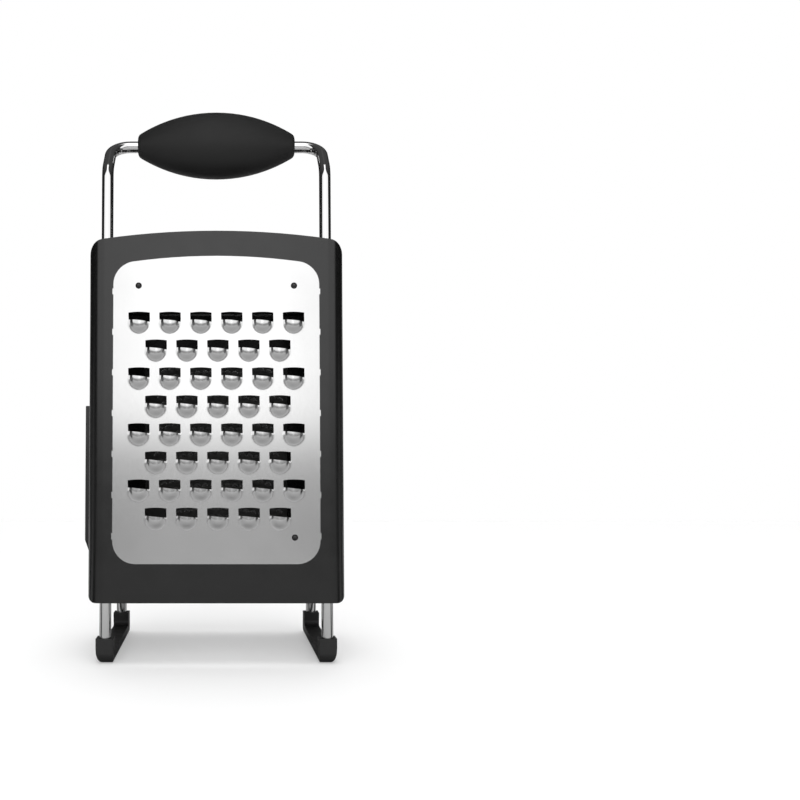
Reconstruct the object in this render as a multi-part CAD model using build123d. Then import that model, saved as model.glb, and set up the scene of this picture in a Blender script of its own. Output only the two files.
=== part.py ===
from build123d import *
import math
import os

# Four-sided grater on two chromed rod hoops. Millimetres, +Z up, front towards -Y.
# The origin is on the floor, in the middle of the four legs.

# Stance: the legs stand in two planes that lean towards each other
leg_spacing = 120.0       # rod centre to rod centre, left to right
stance_depth = 86.0       # front legs to rear legs, at the floor
lean_deg = 2.58           # lean of each leg plane
rod_d = 6.35              # quarter-inch rod
rod_end_h = 3.0           # rod end above the floor, inside the foot
rod_gap = 0.05            # radial gap of a rod in its bore
rod_sides = 16            # flats drawn round a rod and a bore
overrun = 2.0             # how far a cut runs past the face that it opens

# Casing, in plan
rod_to_side = 9.25        # rod centre to the outer side face
rod_to_face = 9.0         # rod plane to the outer front or rear face
corner_r = 9.0            # upright outer corners
front_skin = 4.0          # front panel, face to back
rear_skin = 4.0           # rear frame, face to back
wall_t = 3.0              # side walls

# Sliding front panel
flange_t = 2.3            # side flange of the panel
flange_back = 3.0         # flange edge behind the rod plane
lip_t = 1.6               # hooked lip along the flange edge
lip_reach = 1.35          # how far the lip hooks in
slide_gap = 0.3           # free space round the panel in its rails
panel_low = 32.5          # lower edge above the floor
panel_h = 195.1           # lower edge to the top corners
panel_rise = 5.6          # arch of the top edge
panel_low_r = 4.5
panel_top_r = 8.0
lip_start = 6.0           # lips start above the panel's lower edge

# Front panel: window, plate seat and the ribbed rail on its back
front_border = 13.6       # plastic beside the window
front_sill = 20.8         # plastic under the window
front_header = 12.6       # plastic over the window, at its corners
front_window_rise = 4.7
front_window_r = 12.5
front_back_low = 38.5     # lower edge of the opening behind the plate, above the panel's edge
front_back_top = 38.7     # its upper edge, under the panel's top corners
front_back_r = 6.0
rail_back = 2.0           # rail's rear edge behind the rod plane
rail_side_gap = 0.3       # rail end to the post
rail_wall = 2.0
rail_rib_t = 1.2
rail_rib_x = 28.5         # ribs each side of the middle

# Steel plates and their seats
plate_t = 0.6
plate_lip = 0.6           # plastic in front of the plate's edge
plate_tuck = 2.5          # how far the plate goes into its frame
hole_gap = 0.05           # gap of a moulded stake in its hole
stake_d = 3.4             # moulded stakes that hold the plates
stake_head_h = 0.35       # their heads above the plate
stake_head_taper = 25.0   # slope of a head's rim, in degrees
stake_sides = 10          # flats drawn round a stake and its hole
notch_w = 3.4             # notches that the mould leaves along a window
notch_in = 0.5
sill_notch_in = 1.3       # along the rear window's lower edge
front_notch_pitch = 22.0
rear_notch_pitch = 20.2
rear_sill_notch_pitch = 16.9
front_notches = 7
rear_notches = 6
rear_sill_notches = 5

# Body: side frames and rear frame
body_low = 35.6           # lower edge above the floor
post_drop = 8.6           # front posts' top under the panel's top corners
post_in = 4.4             # rod centre to the post's inner face
post_back = 7.0           # rod plane to the post's chamber face
rear_step = 18.2          # rear frame's top corners under the front posts
rear_rise = 0.9
rear_top_r = 1.0
seam_in = 5.1             # rod centre to the seam beside the rear frame
tongue_t = 1.6            # rear frame's tongue in the side frame's groove
tongue_w = 1.5
rear_border = 6.75        # plastic between the seam and the rear window
rear_sill = 24.0
rear_header = 10.0
rear_window_rise = 0.9
rear_window_r = 13.7
rear_back_low = 31.0      # lower edge of the opening behind the plate, above the frame's edge
rear_back_top = 26.5      # its upper edge, under the frame's top corners
rear_back_border = 3.0    # extra plastic beside that opening

# Side windows
side_border = 8.0         # plastic beside a side window
side_sill = 24.4
side_header = 11.0
side_window_r = 8.0

# Extra coarse blade: pressed domes with a raised cutting lip under each slot
coarse_rows = 8
coarse_per_row = 6
coarse_pitch_x = 16.67
coarse_pitch_up = 15.1
coarse_short_row_x = 0.85  # middle of the shorter rows, right of the plate's
coarse_first_up = 184.2   # lip height of the top row
slot_w = 11.5
slot_h = 4.3
slot_crown = 0.5          # peak of the slot's upper edge
dome_w = 9.6
dome_l = 6.0
dome_rise = 2.0
lip_skew_deg = 6.0
dome_sides = 5            # flats drawn over a dome's arch
dome_turn_deg = 60.0      # its arch to each side of the top, in degrees
front_stake_x = 42.0
front_stake_top = 11.7    # upper stakes under the window's top corners
front_stake_low = 14.1    # lower stake above the window's sill

# Fine blade: arched rows of small openings
fine_rows = 20
fine_per_row = 17
fine_pitch_x = 4.75
fine_pitch_up = 5.11
fine_first_up = 170.2     # middle of the top row
fine_arc_r = 120.0
fine_w = 3.2
fine_h = 2.6
fine_clear = 6.3          # solid plate round a stake
rear_stake_x = 34.2
rear_stake_top = 13.1     # upper stakes under the window's top corners
rear_stake_low = 13.8     # lower stake above the window's sill

# Ribbon blade: wide raised tabs, in staggered rows
ribbon_rows = 11
ribbon_w = 13.0
ribbon_slot_h = 2.6
ribbon_tab_l = 5.0
ribbon_rise = 1.3
ribbon_pitch_x = 17.0
ribbon_pitch_up = 11.2
ribbon_first_up = 182.0   # lip height of the top row

# Slicer: a proud blade on a plinth, with its edge on a slant
slicer_proud = 3.5
slicer_edge_up = 122.7    # cutting edge above the floor, at its middle
slicer_edge_deg = 30.0
slicer_blade_t = 1.0
slicer_bevel = 2.6
slicer_overhang = 9.0     # blade over the throat
slicer_throat = 1.2       # approach plate's end to the cutting edge, seen square to the wall
slicer_cover = 2.0        # how far the plinth covers the wall round the window
slicer_low = 55.0         # plinth's lower edge above the floor
slicer_ramp = 10.0
slicer_rail = 3.2         # plinth's rail beside the blade
slicer_blade_low = 72.0   # blade's lower edge above the floor
slicer_stake_in = 7.0     # stakes above the blade's lower edge
slicer_stake_pitch = 18.0

# Tall hoop with the grip, and the low rear hoop
handle_rise = 62.7        # bar above the panel's top corners
handle_back = 18.9        # bar behind the front legs' plane
kink_drop = 20.0          # the legs' kink under the bar
kink_r = 12.0
handle_corner_r = 11.0
rear_hoop_rise = 35.7     # bar ends above the rear frame's top corners
rear_hoop_crown = 3.4     # peak of the bar's two straight halves above its ends
rear_hoop_corner_r = 8.0
rear_hoop_crown_share = 0.9

# Grip
grip_l = 89.7
grip_h = 37.9
grip_depth = 29.0
grip_end_h = 12.0
grip_up = 0.6             # grip's middle above the bar
grip_skin = 2.4           # soft skin over the core
grip_sides = 16           # flats drawn round the grip
grip_station_shares = (0.0, 0.25, 0.5, 0.72, 0.88, 0.97, 1.0)
grip_end_share = 0.8      # its blunt end against the arc that its sides follow

# Feet: one skid under the two legs of each side
foot_w = 9.4
foot_bar_h = 5.5
foot_sleeve_h = 13.3
foot_round_w = 3.4        # long rounding of the outer side, across
foot_round_h = 8.2        # and up
foot_round_flats = 4      # flats drawn round it
foot_inner_r = 1.5
foot_neck_r = 3.0
foot_toe_r = 5.0

# Sizes that follow from those above
rod_r = rod_d / 2
bore_r = rod_r + rod_gap
leg_x = leg_spacing / 2
side_x = leg_x + rod_to_side
lean_sin = math.sin(math.radians(lean_deg))
lean_cos = math.cos(math.radians(lean_deg))
panel_top = panel_low + panel_h
post_top = panel_top - post_drop
rear_top = post_top - rear_step
panel_back = rod_to_face - front_skin
post_front = panel_back - slide_gap
post_side = side_x - flange_t - slide_gap
post_inner = leg_x - post_in
wall_front = flange_back + slide_gap
plate_face = rod_to_face - plate_lip
plate_rear = plate_face - plate_t
front_window_w = 2 * (side_x - front_border)
seam_x = leg_x - seam_in
rear_window_w = 2 * (seam_x - rear_border)
front_low_line = panel_low + front_sill
front_top_line = panel_top - front_header
rear_low_line = body_low + rear_sill
rear_top_line = rear_top - rear_header
side_low_line = body_low + side_sill
side_top_line = rear_top - side_header

# Frames of the walls: x to the viewer's right, y up the wall, z outwards
front_wall = Plane(origin=(0, -stance_depth / 2, 0), x_dir=(1, 0, 0), z_dir=(0, -lean_cos, lean_sin))
rear_wall = Plane(origin=(0, stance_depth / 2, 0), x_dir=(-1, 0, 0), z_dir=(0, lean_cos, lean_sin))
side_wall = Plane(origin=(side_x, 0, 0), x_dir=(0, 1, 0), z_dir=(1, 0, 0))


# Helpers

def slab(face, near, far):
    # A face of the wall, made solid between two distances from the rod plane
    return Pos(0, 0, near) * extrude(face, far - near, dir=(0, 0, 1))


def column(face, low, high):
    # A face drawn in plan (x, outwards), carried up the wall from low to high
    return Rot(90, 0, 0) * Pos(0, 0, -high) * extrude(face, high - low, dir=(0, 0, 1))


def span(x0, x1, y0, y1):
    # A rectangle between two corners
    return Pos((x0 + x1) / 2, (y0 + y1) / 2) * Rectangle(abs(x1 - x0), abs(y1 - y0))


def arched(width, low, high, rise, low_r=0.0, high_r=0.0):
    # A rectangle with an arched top edge, and rounded corners where radii are given
    half = width / 2
    sides = Polyline((half, high), (half, low), (-half, low), (-half, high))
    top = ThreePointArc((-half, high), (0, high + rise), (half, high))
    face = make_face(sides.edges() + top.edges())
    if low_r > 0:
        face = fillet(face.vertices().sort_by(Axis.Y)[:2], low_r)
    if high_r > 0:
        face = fillet(face.vertices().sort_by(Axis.Y)[-2:], high_r)
    return face


def rows_about(middle, pitch, count):
    # Evenly spaced places about a middle
    return [middle + (i - (count - 1) / 2) * pitch for i in range(count)]


def rod_section():
    return RegularPolygon(rod_r, rod_sides)


def bore_section():
    # Its flats stand clear of the rod, whichever way the rod is turned
    return RegularPolygon(bore_r, rod_sides, major_radius=False)


def stake_section(gap):
    return RegularPolygon(stake_d / 2 - gap, stake_sides)


def stake(x, up, root):
    # A moulded stake from its frame through the plate, with a flat bevelled head
    pin = stake_section(hole_gap)
    shaft = slab(pin, root, plate_face)
    head = Pos(0, 0, plate_face) * extrude(pin, stake_head_h, taper=stake_head_taper)
    return Pos(x, up) * (shaft + head)


def stake_hole(x, up):
    return Pos(x, up) * slab(stake_section(0.0), plate_rear - overrun, plate_face + overrun)


def solid_of(shape):
    # The one solid of a result that should be one piece
    return shape.solids().sort_by(SortBy.VOLUME)[-1]


# Front panel and its plate, in the frame of the front wall

def front_window():
    r = front_window_r
    return arched(front_window_w, front_low_line, front_top_line, front_window_rise, r, r)


def front_seat():
    # Outline of the plate, which is tucked into the frame all round
    width = front_window_w + 2 * plate_tuck
    return arched(width, front_low_line - plate_tuck, front_top_line + plate_tuck, front_window_rise)


front_stakes = (
    (-front_stake_x, front_top_line - front_stake_top),
    (front_stake_x, front_top_line - front_stake_top),
    (front_stake_x, front_low_line + front_stake_low),
)


def panel_plan():
    # Plan of the sliding panel: face, rounded corners, flanges and hooked lips
    outer = span(-side_x, side_x, -flange_back, rod_to_face)
    outer = fillet(outer.vertices().sort_by(Axis.Y)[-2:], corner_r)
    inner_x = side_x - flange_t
    cavity = span(-inner_x, inner_x, -flange_back - overrun, panel_back)
    cavity = fillet(cavity.vertices().sort_by(Axis.Y)[-2:], corner_r - front_skin)
    return outer - cavity


def panel_lips():
    lip = span(
        side_x - flange_t - lip_reach, side_x - flange_t / 2, -flange_back, lip_t - flange_back
    )
    lips = lip + mirror(lip, about=Plane.YZ)
    return column(lips, panel_low + lip_start, panel_top - panel_top_r)


def panel_outline(inset):
    # Front view of the panel, moved in from its top edge
    top = panel_top - inset
    return arched(2 * side_x, panel_low, top, panel_rise, panel_low_r, panel_top_r)


def panel_rail():
    # Ribbed rail across the back of the panel's top, open to the rear
    end = post_inner - rail_side_gap
    low = panel_top - front_back_top
    high = panel_top + panel_rise
    outline = panel_outline(0.0) & span(-end, end, low, high)
    inner = span(rail_wall - end, end - rail_wall, low + rail_wall, high)
    for side in (-1, 1):
        x = side * rail_rib_x
        inner -= span(x - rail_rib_t / 2, x + rail_rib_t / 2, low, high)
    pocket = panel_outline(rail_wall) & inner
    return slab(outline, -rail_back, panel_back) - slab(pocket, -rail_back - overrun, panel_back)


def edge_notches(half_w, ups, low, xs, top=None):
    # Shallow notches in the plastic round a window, seen from the front
    cuts = []
    for up in ups:
        for side in (-1, 1):
            cuts.append(Pos(side * half_w, up) * Rectangle(2 * notch_in, notch_w))
    for x in xs:
        cuts.append(Pos(x, low) * Rectangle(notch_w, 2 * sill_notch_in))
        if top is not None:
            cuts.append(Pos(x, top) * Rectangle(notch_w, 2 * notch_in))
    return [slab(cut, plate_face, rod_to_face + overrun) for cut in cuts]


def make_front_frame():
    shell = column(panel_plan(), panel_low, panel_top + panel_rise)
    panel = shell & slab(panel_outline(0.0), -flange_back - overrun, rod_to_face + overrun)
    panel += panel_lips()
    panel += panel_rail()
    back = arched(
        front_window_w - plate_tuck,
        panel_low + front_back_low,
        panel_top - front_back_top,
        front_window_rise,
        front_back_r,
        front_back_r,
    )
    panel -= slab(back, panel_back - overrun, plate_rear + plate_t)
    panel -= slab(front_seat(), plate_rear, plate_face)
    panel -= slab(front_window(), plate_face, rod_to_face + overrun)
    middle = (front_low_line + front_top_line) / 2
    ups = rows_about(middle, front_notch_pitch, front_notches)
    panel -= edge_notches(front_window_w / 2, ups, front_low_line, [])
    for x, up in front_stakes:
        panel += stake(x, up, panel_back)
    return solid_of(panel)


def coarse_slot():
    # Slot above the lip; its lower edge follows the skewed lip
    half = slot_w / 2
    drop = half * math.tan(math.radians(lip_skew_deg))
    return make_face(
        Polyline(
            (-half, drop),
            (half, -drop),
            (half, slot_h - slot_crown),
            (0, slot_h),
            (-half, slot_h - slot_crown),
            close=True,
        )
    )


def coarse_scoop(drop):
    # Tilted arch cut square at the lip: high at the lip, it runs out into the plate
    r = (dome_w ** 2 / 4 + dome_rise ** 2) / (2 * dome_rise)
    turns = [math.radians(turn) for turn in rows_about(0, 2 * dome_turn_deg / dome_sides, dome_sides + 1)]
    arch = [(r * math.sin(turn), r * math.cos(turn) - r) for turn in turns]
    across = Plane(origin=(0, dome_l, 0), x_dir=(1, 0, 0), z_dir=(0, -1, 0))
    body = across * extrude(make_face(Polyline(*arch, close=True)), 3 * dome_l, dir=(0, 0, 1))
    tilt = math.degrees(math.atan(dome_rise / dome_l))
    body = Pos(0, 0, dome_rise) * Rot(tilt, 0, 0) * body
    keep = Pos(0, -dome_l, 0) * Box(4 * dome_w, 2 * dome_l, 4 * dome_rise)
    scoop = Rot(0, 0, -lip_skew_deg) * (body & keep)
    return Pos(0, 0, -drop) * scoop


def coarse_places():
    places = []
    for row in range(coarse_rows):
        short = row % 2
        up = coarse_first_up - row * coarse_pitch_up
        middle = short * coarse_short_row_x
        places += [(x, up) for x in rows_about(middle, coarse_pitch_x, coarse_per_row - short)]
    return places


def make_extra_coarse_blade():
    plate = slab(front_seat(), plate_rear, plate_face)
    over = Pos(0, 0, dome_rise) * Box(4 * dome_w, 4 * dome_l, 2 * dome_rise + plate_t)
    dome = coarse_scoop(0.0) & over
    hollow = coarse_scoop(plate_t)
    slot = slab(coarse_slot(), -plate_t - overrun, dome_rise + overrun)
    places = [Pos(x, up, plate_face) for x, up in coarse_places()]
    plate += [place * dome for place in places]
    plate -= [place * hollow for place in places]
    plate -= [place * slot for place in places]
    plate -= [stake_hole(x, up) for x, up in front_stakes]
    return solid_of(plate)


# Rear frame and the fine blade, in the frame of the rear wall

def rear_window():
    r = rear_window_r
    return arched(rear_window_w, rear_low_line, rear_top_line, rear_window_rise, r, r)


def rear_seat():
    width = rear_window_w + 2 * plate_tuck
    return arched(width, rear_low_line - plate_tuck, rear_top_line + plate_tuck, rear_window_rise)


rear_stakes = (
    (-rear_stake_x, rear_top_line - rear_stake_top),
    (rear_stake_x, rear_top_line - rear_stake_top),
    (rear_stake_x, rear_low_line + rear_stake_low),
)


def tongue_zone(side):
    # Plan of the tongue beside the rear frame, which fills its groove in the side frame
    x0 = side * (seam_x - overrun)
    x1 = side * (seam_x + tongue_w)
    middle = rod_to_face - rear_skin / 2
    return span(x0, x1, middle - tongue_t / 2, middle + tongue_t / 2)


def make_rear_frame():
    back_face = rod_to_face - rear_skin
    outline = arched(2 * seam_x, body_low, rear_top, rear_rise, rear_top_r, rear_top_r)
    frame = slab(outline, back_face, rod_to_face)
    for side in (-1, 1):
        frame += column(tongue_zone(side), body_low + rear_top_r, rear_top - rear_top_r)
    back = arched(
        rear_window_w - 2 * rear_back_border,
        body_low + rear_back_low,
        rear_top - rear_back_top,
        rear_window_rise,
        front_back_r,
        front_back_r,
    )
    frame -= slab(back, back_face - overrun, plate_rear + plate_t)
    frame -= slab(rear_seat(), plate_rear, plate_face)
    frame -= slab(rear_window(), plate_face, rod_to_face + overrun)
    middle = (rear_low_line + rear_top_line) / 2
    ups = rows_about(middle, rear_notch_pitch, rear_notches)
    xs = rows_about(0, rear_sill_notch_pitch, rear_sill_notches)
    frame -= edge_notches(rear_window_w / 2, ups, rear_low_line, xs, rear_top_line)
    for x, up in rear_stakes:
        frame += stake(x, up, back_face)
    return solid_of(frame)


def fine_places():
    # Arched rows; each tooth turns with its row. None stands close to a stake.
    places = []
    for row in range(fine_rows):
        shift = -fine_pitch_x / 2 if row % 2 else 0.0
        for x in rows_about(shift, fine_pitch_x, fine_per_row):
            sag = fine_arc_r - math.sqrt(fine_arc_r ** 2 - x ** 2)
            up = fine_first_up - row * fine_pitch_up - sag
            near = min(math.hypot(x - sx, up - sup) for sx, sup in rear_stakes)
            if near > fine_clear:
                places.append((x, up, -math.degrees(math.asin(x / fine_arc_r))))
    return places


def fine_opening(x, up, turn):
    # Pointed opening, wide along its lower, cutting edge
    corners = ((-fine_w / 2, -fine_h / 2), (fine_w / 2, -fine_h / 2), (0, fine_h / 2))
    cos, sin = math.cos(math.radians(turn)), math.sin(math.radians(turn))
    turned = [(x + a * cos - b * sin, up + a * sin + b * cos) for a, b in corners]
    return Polyline(*turned, close=True)


def make_fine_blade():
    outline = rear_seat().face().outer_wire()
    holes = [Wire(fine_opening(*place).edges()) for place in fine_places()]
    plate = slab(Face(outline, holes), plate_rear, plate_face)
    plate -= [stake_hole(x, up) for x, up in rear_stakes]
    return solid_of(plate)


# Side frames: a front post with the slide groove, a side wall and a rear corner post

def wall_y(up, out):
    # Distance from the middle plane of a point of a leaning wall
    return stance_depth / 2 - up * lean_sin + out * lean_cos


def side_region(border, low, high, r):
    # Part of the flat side wall, inside a border, between two heights
    front_low, front_high = -wall_y(low, -wall_front) + border, -wall_y(high, -wall_front) + border
    rear_low, rear_high = wall_y(low, 0.0) - border, wall_y(high, 0.0) - border
    corners = ((front_low, low), (rear_low, low), (rear_high, high), (front_high, high))
    face = make_face(Polyline(*corners, close=True))
    return fillet(face.vertices(), r) if r > 0 else face


def side_window():
    return side_region(side_border, side_low_line, side_top_line, side_window_r)


def side_seat():
    low, high = side_low_line - plate_tuck, side_top_line + plate_tuck
    return side_region(side_border - plate_tuck, low, high, 0.0)


def side_middle():
    middle_up = (side_low_line + side_top_line) / 2
    return (wall_y(middle_up, 0.0) - wall_y(middle_up, -wall_front)) / 2


def front_post():
    plan = span(post_inner, post_side, -post_back, post_front)
    corner = plan.vertices().group_by(Axis.X)[-1].sort_by(Axis.Y)[-1]
    plan = fillet(corner, corner_r - front_skin - slide_gap)
    plan -= Pos(leg_x, 0) * bore_section()
    post = column(plan, 0, panel_top)
    groove = span(
        post_side - lip_reach,
        post_side + overrun,
        -wall_front,
        lip_t - flange_back + slide_gap,
    )
    groove_low = panel_low + lip_start - slide_gap
    return front_wall * (post - column(groove, groove_low, panel_top + overrun))


def rear_post():
    plan = span(seam_x, side_x, -post_back, rod_to_face)
    corner = plan.vertices().group_by(Axis.X)[-1].sort_by(Axis.Y)[-1]
    plan = fillet(corner, corner_r)
    plan -= Pos(leg_x, 0) * bore_section()
    plan -= tongue_zone(1)
    return mirror(front_wall * column(plan, 0, panel_top), about=Plane.XZ)


def body_profile():
    # Side view of the body: level over the front posts, then falling to the rear frame
    front = -wall_y(0, rod_to_face) - overrun
    rear = wall_y(0, rod_to_face) + overrun
    post_rear = -wall_y(post_top, -post_back)
    rear_front = wall_y(rear_top, -post_back)
    line = Polyline(
        (front, body_low),
        (rear, body_low),
        (rear, rear_top),
        (rear_front, rear_top),
        (post_rear, post_top),
        (front, post_top),
        close=True,
    )
    return make_face(line)


def side_frame_blank():
    front = -wall_y(0, -wall_front)
    wall_line = Polyline(
        (front, 0),
        (wall_y(0, 0), 0),
        (wall_y(panel_top, 0), panel_top),
        (-wall_y(panel_top, -wall_front), panel_top),
        close=True,
    )
    wall = side_wall * slab(make_face(wall_line), -wall_t, 0)
    profile = side_wall * slab(body_profile(), -side_x, overrun)
    return (front_post() + rear_post() + wall) & profile


def make_right_side_frame():
    plate = side_wall * slab(side_seat(), -plate_lip - plate_t, -plate_lip)
    through = side_wall * slab(side_window(), -wall_t - overrun, overrun)
    return solid_of(side_frame_blank() - plate - through)


def ribbon_places():
    places = []
    for row in range(ribbon_rows):
        count = 2 + (row + 1) % 2
        up = ribbon_first_up - row * ribbon_pitch_up
        places += [(x, up) for x in rows_about(side_middle(), ribbon_pitch_x, count)]
    return places


def ribbon_tab(drop):
    # Flat tab, square at the lip, that runs out into the plate
    side = make_face(
        Polyline(
            (0, ribbon_rise - drop),
            (-ribbon_tab_l - plate_t, -ribbon_rise * plate_t / ribbon_tab_l - drop),
            (-ribbon_tab_l - plate_t, -ribbon_rise - plate_t - drop),
            (0, -ribbon_rise - plate_t - drop),
            close=True,
        )
    )
    lie = Plane(origin=(-ribbon_w / 2, 0, 0), x_dir=(0, 1, 0), z_dir=(1, 0, 0))
    return lie * extrude(side, ribbon_w, dir=(0, 0, 1))


def make_ribbon_blade():
    plate = slab(side_seat(), -plate_lip - plate_t, -plate_lip)
    over = Pos(0, 0, ribbon_rise) * Box(2 * ribbon_w, 4 * ribbon_tab_l, 2 * ribbon_rise + plate_t)
    tab = ribbon_tab(0.0) & over
    hollow = ribbon_tab(plate_t)
    slot = slab(span(-ribbon_w / 2, ribbon_w / 2, 0, ribbon_slot_h), -plate_t - overrun, overrun)
    places = [Pos(x, up, -plate_lip) for x, up in ribbon_places()]
    plate += [place * tab for place in places]
    plate -= [place * hollow for place in places]
    plate -= [place * slot for place in places]
    return side_wall * solid_of(plate)


# Slicer, made on the right and mirrored to the left

def slant(offset):
    # Everything below a line parallel to the cutting edge, this far under it
    big = stance_depth
    run = big * math.tan(math.radians(slicer_edge_deg))
    up = slicer_edge_up - offset / math.cos(math.radians(slicer_edge_deg))
    middle = side_middle()
    return make_face(
        Polyline(
            (middle - big, 0), (middle + big, 0), (middle + big, up - run), (middle - big, up + run),
            close=True,
        )
    )


def slicer_stakes():
    up = slicer_blade_low + slicer_stake_in
    return [(x, up) for x in rows_about(side_middle(), slicer_stake_pitch, 3)]


def slicer_side_region(extra):
    return side_region(side_border - slicer_cover + extra, slicer_low, side_top_line, 0.0)


def make_left_side_frame():
    plate = slab(side_seat() - slant(-slicer_throat), -plate_lip - plate_t, -plate_lip)
    through = slab(side_window(), -wall_t - overrun, overrun)
    return mirror(solid_of(side_frame_blank() - side_wall * (plate + through)), about=Plane.YZ)


def make_slicer_plate():
    plate = slab(side_seat() - slant(-slicer_throat), -plate_lip - plate_t, -plate_lip)
    return mirror(side_wall * solid_of(plate), about=Plane.YZ)


def make_slicer_carrier():
    plinth = slab(slicer_side_region(0.0) & slant(0.0), 0, slicer_proud)
    ramp = make_face(
        Polyline(
            (slicer_low, 0),
            (slicer_low + slicer_ramp, slicer_proud),
            (slicer_low, slicer_proud),
            close=True,
        )
    )
    across = Plane(origin=(-stance_depth, 0, 0), x_dir=(0, 1, 0), z_dir=(1, 0, 0))
    plinth -= across * extrude(ramp, 2 * stance_depth, dir=(0, 0, 1))
    inside = slicer_side_region(slicer_rail)
    plinth -= slab(inside - slant(slicer_overhang), -overrun, slicer_proud + overrun)
    seat = inside - span(-stance_depth, stance_depth, 0, slicer_blade_low)
    plinth -= slab(seat, slicer_proud - slicer_blade_t, slicer_proud + overrun)
    plug = slab(side_window() & slant(slicer_overhang), -wall_t, 0)
    carrier = plinth + plug
    for x, up in slicer_stakes():
        carrier += Pos(x, up) * slab(stake_section(hole_gap), 0, slicer_proud)
    return mirror(side_wall * solid_of(carrier), about=Plane.YZ)


def make_slicer_blade():
    inside = slicer_side_region(slicer_rail) - span(
        -stance_depth, stance_depth, 0, slicer_blade_low
    )
    outer = (inside & slant(0.0)).face()
    inner = (inside & slant(slicer_bevel)).face()
    near = slicer_proud - slicer_blade_t
    blade = loft([Pos(0, 0, near) * inner, Pos(0, 0, slicer_proud) * outer], ruled=True)
    for x, up in slicer_stakes():
        blade -= Pos(x, up) * slab(stake_section(0.0), 0, slicer_proud + overrun)
    return mirror(side_wall * solid_of(blade), about=Plane.YZ)


# Rod hoops

def rod_along(path):
    return solid_of(sweep(Plane(origin=path @ 0, z_dir=path % 0) * rod_section(), path=path))


def make_handle_hoop():
    bar = panel_top + handle_rise
    kink = bar - kink_drop
    half = (
        (leg_x, rod_end_h, 0),
        (leg_x, kink, 0),
        (leg_x, bar, -handle_back),
    )
    points = half + tuple((-x, up, out) for x, up, out in reversed(half))
    path = FilletPolyline(*points, radius=[kink_r, handle_corner_r, handle_corner_r, kink_r])
    return front_wall * rod_along(path)


def make_rear_hoop():
    ends = rear_top + rear_hoop_rise
    peak = ends + rear_hoop_crown
    slope = math.atan(rear_hoop_crown / leg_x)
    crown_r = rear_hoop_crown_share * (leg_x - rear_hoop_corner_r) / 2 / math.tan(slope)
    points = (
        (leg_x, rod_end_h, 0),
        (leg_x, ends, 0),
        (0, peak, 0),
        (-leg_x, ends, 0),
        (-leg_x, rod_end_h, 0),
    )
    path = FilletPolyline(*points, radius=[rear_hoop_corner_r, crown_r, rear_hoop_corner_r])
    return rear_wall * rod_along(path)


# Grip: a hard core in two halves round the bar, under one soft skin

def grip_girth(share):
    # Size of a section at a share of the half length, against the middle one: arc-sided, blunt at the ends
    sag = (grip_h - grip_end_h) / 2
    half = grip_l / 2
    r = (half ** 2 + sag ** 2) / (2 * sag)
    girth = 1 - (r - math.sqrt(r ** 2 - (share * half) ** 2)) / (grip_h / 2)
    return girth * grip_end_share if share == 1 else girth


def grip_section(share, skin):
    # Oval section, as points
    x = share * (grip_l / 2 - skin)
    up = grip_girth(abs(share)) * (grip_h / 2 - skin)
    out = grip_girth(abs(share)) * (grip_depth / 2 - skin)
    turns = [2 * math.pi * i / grip_sides for i in range(grip_sides)]
    return [(x, up * math.sin(turn), out * math.cos(turn)) for turn in turns]


def grip_body(skin):
    # Closed form of flat facets between the sections
    shares = [-share for share in reversed(grip_station_shares[1:])] + list(grip_station_shares)
    rings = [grip_section(share, skin) for share in shares]
    outlines = [rings[0], rings[-1]]
    for near, far in zip(rings, rings[1:]):
        for i in range(grip_sides):
            k = (i + 1) % grip_sides
            outlines.append([near[i], near[k], far[k], far[i]])
    return Solid(Shell([make_face(Polyline(*points, close=True)).face() for points in outlines]))


def grip_place():
    return front_wall * Pos(0, panel_top + handle_rise + grip_up, -handle_back)


def grip_bore():
    bore = extrude(bore_section(), grip_l + 2 * overrun, dir=(0, 0, 1))
    return Plane(origin=(-grip_l / 2 - overrun, -grip_up, 0), z_dir=(1, 0, 0)) * bore


def make_grip_core(side):
    half = Pos(0, 0, side * grip_depth) * Box(2 * grip_l, 2 * grip_h, 2 * grip_depth)
    core = (grip_body(grip_skin) & half) - grip_bore()
    return grip_place() * solid_of(core)


def make_grip_cover():
    return grip_place() * solid_of(grip_body(0.0) - grip_body(grip_skin) - grip_bore())


# Feet: a skid with a sleeve for each leg

def foot_end(side):
    # Front view of a foot: a flat sole, a small inner corner and a long outer rounding
    flat_end = foot_w / 2 - foot_round_w
    turns = [math.pi / 2 * i / foot_round_flats for i in range(foot_round_flats + 1)]
    rounding = [
        (flat_end + foot_round_w * math.sin(turn), foot_round_h * (1 - math.cos(turn)))
        for turn in turns
    ]
    rest = ((foot_w / 2, foot_sleeve_h), (-foot_w / 2, foot_sleeve_h), (-foot_w / 2, 0))
    end = make_face(Polyline(*rounding, *rest, close=True))
    inner = end.vertices().group_by(Axis.Y)[0].sort_by(Axis.X)[0]
    end = fillet(inner, foot_inner_r)
    return end if side > 0 else mirror(end, about=Plane.YZ)


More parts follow.
